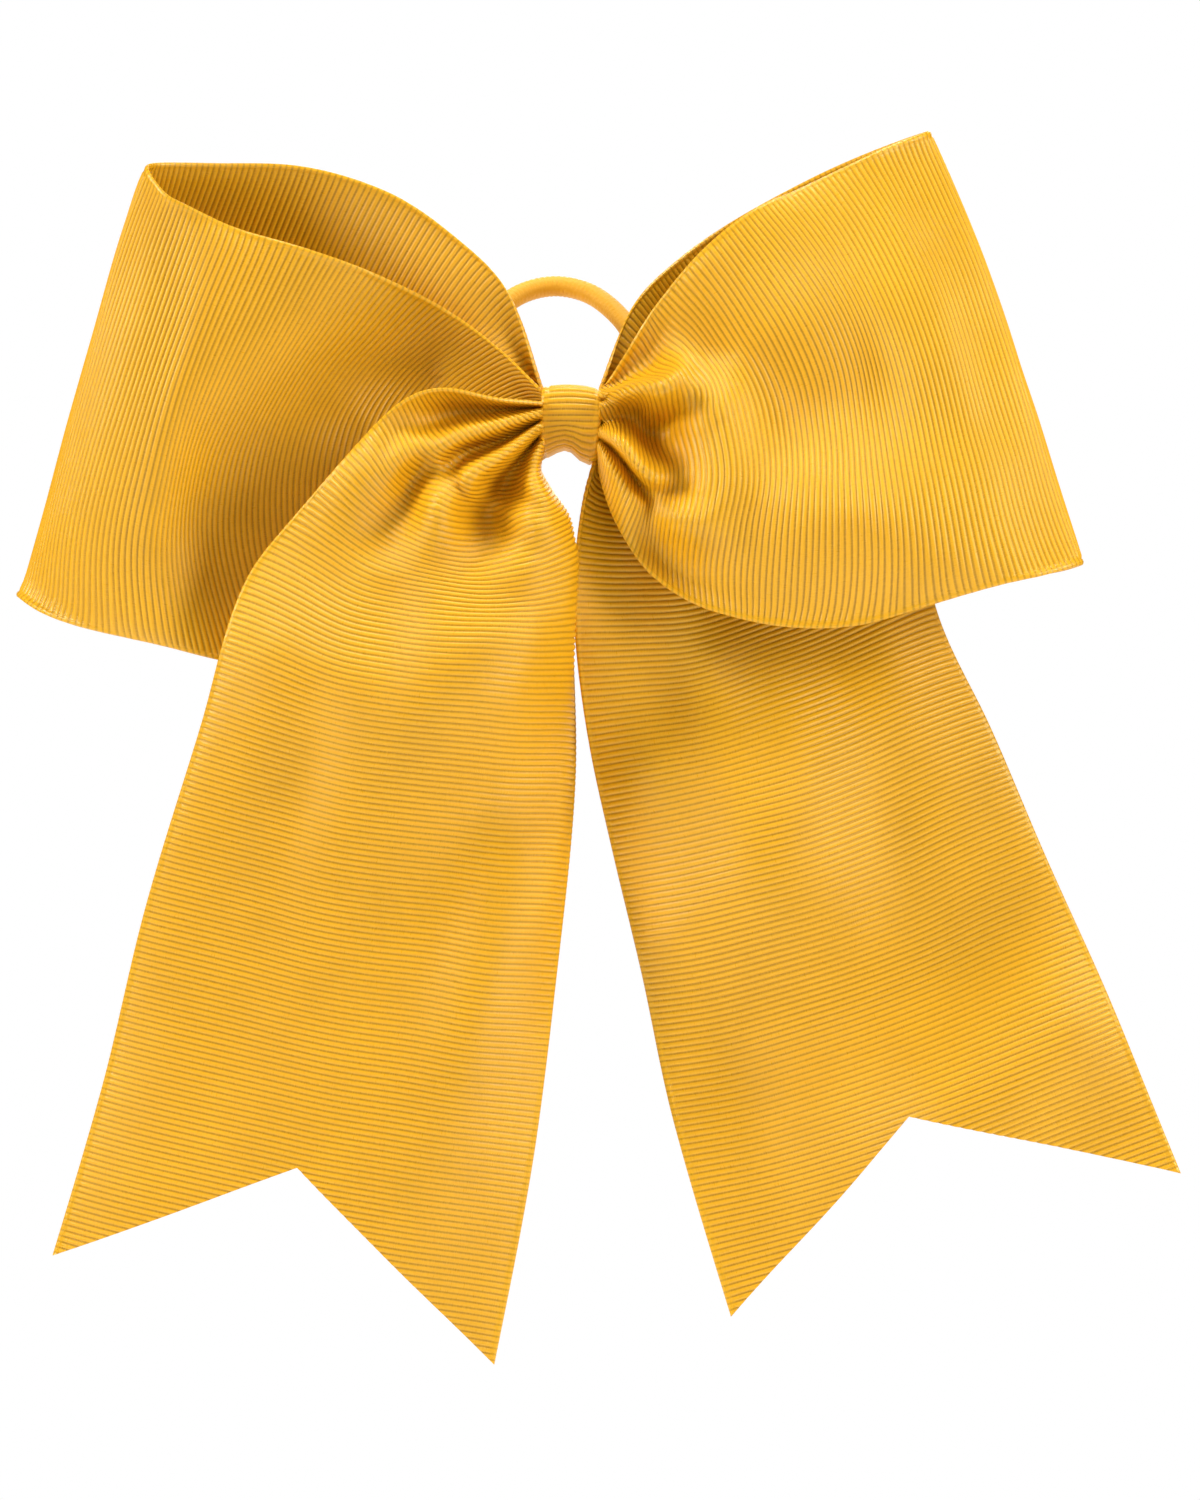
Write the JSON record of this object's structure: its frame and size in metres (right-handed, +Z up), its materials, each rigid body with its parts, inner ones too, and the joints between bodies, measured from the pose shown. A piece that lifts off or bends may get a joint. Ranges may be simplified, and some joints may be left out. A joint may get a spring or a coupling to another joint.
{
  "type": "cheer hair bow",
  "caption": "Wide grosgrain ribbon hair bow with two loops, two swallowtail tails, a wrapped centre and an elastic ponytail ring behind.",
  "frame": {"origin": "middle of the flat back face of the centre wrap's overlapped end, which rests on the ponytail", "axes": "+Z up as worn, +Y out of the back of the bow towards the head, -Y out of its front, +X along the loops to the right as seen from the front"},
  "size_m": [0.188, 0.0483, 0.1991],
  "materials": {
    "ribbon": "woven grosgrain with a soft sheen",
    "thread": "twisted thread",
    "glue": "hot-melt glue",
    "elastic": "braided cover",
    "crimp": "satin"
  },
  "bodies": {
    "centre": {"centre_wrap": "ribbon", "wrap_end_flap": "ribbon", "wrap_glue": "glue", "front_gather": "ribbon", "middle_gather": "ribbon", "back_gather": "ribbon", "gather_thread": "thread", "left_tail_gather": "ribbon", "right_tail_gather": "ribbon", "elastic_anchor": "elastic", "elastic_crimp": "crimp"},
    "left_loop": {"left_loop_front": "ribbon", "left_loop_back": "ribbon"},
    "right_loop": {"right_loop_front": "ribbon", "right_loop_back": "ribbon"},
    "left_tail": {"left_tail": "ribbon"},
    "right_tail": {"right_tail": "ribbon"},
    "elastic": {"elastic_left_strand": "elastic", "elastic_right_strand": "elastic"},
    "elastic_bight": {"elastic_bight": "elastic"}
  },
  "joints": [
    {"name": "left_loop_flop", "type": "hinge", "parent": "centre", "child": "left_loop", "pos_m": [-0.006, -0.009, 0], "axis": [0, 1, 0], "range_deg": [-8, 12], "stiffness_Nm_per_rad": 0.06},
    {"name": "right_loop_flop", "type": "hinge", "parent": "centre", "child": "right_loop", "pos_m": [0.006, -0.009, 0], "axis": [0, -1, 0], "range_deg": [-8, 12], "stiffness_Nm_per_rad": 0.06},
    {"name": "left_tail_swing", "type": "hinge", "parent": "centre", "child": "left_tail", "pos_m": [-0.0295, -0.0195, -0.048], "axis": [-1, 0, 0], "range_deg": [-45, 75], "stiffness_Nm_per_rad": 0.004},
    {"name": "right_tail_swing", "type": "hinge", "parent": "centre", "child": "right_tail", "pos_m": [0.0347, -0.0115, -0.048], "axis": [-1, 0, 0], "range_deg": [-45, 75], "stiffness_Nm_per_rad": 0.004},
    {"name": "elastic_swing", "type": "hinge", "parent": "centre", "child": "elastic", "pos_m": [0, -0.00435, 0], "axis": [-1, 0, 0], "range_deg": [-20, 80], "stiffness_Nm_per_rad": 0.003},
    {"name": "elastic_stretch", "type": "slide", "parent": "elastic", "child": "elastic_bight", "axis": [0, 0.7071, 0.7071], "range_m": [0, 0.035], "stiffness_N_per_m": 30, "deforming": ["elastic_left_strand", "elastic_right_strand"]}
  ]
}
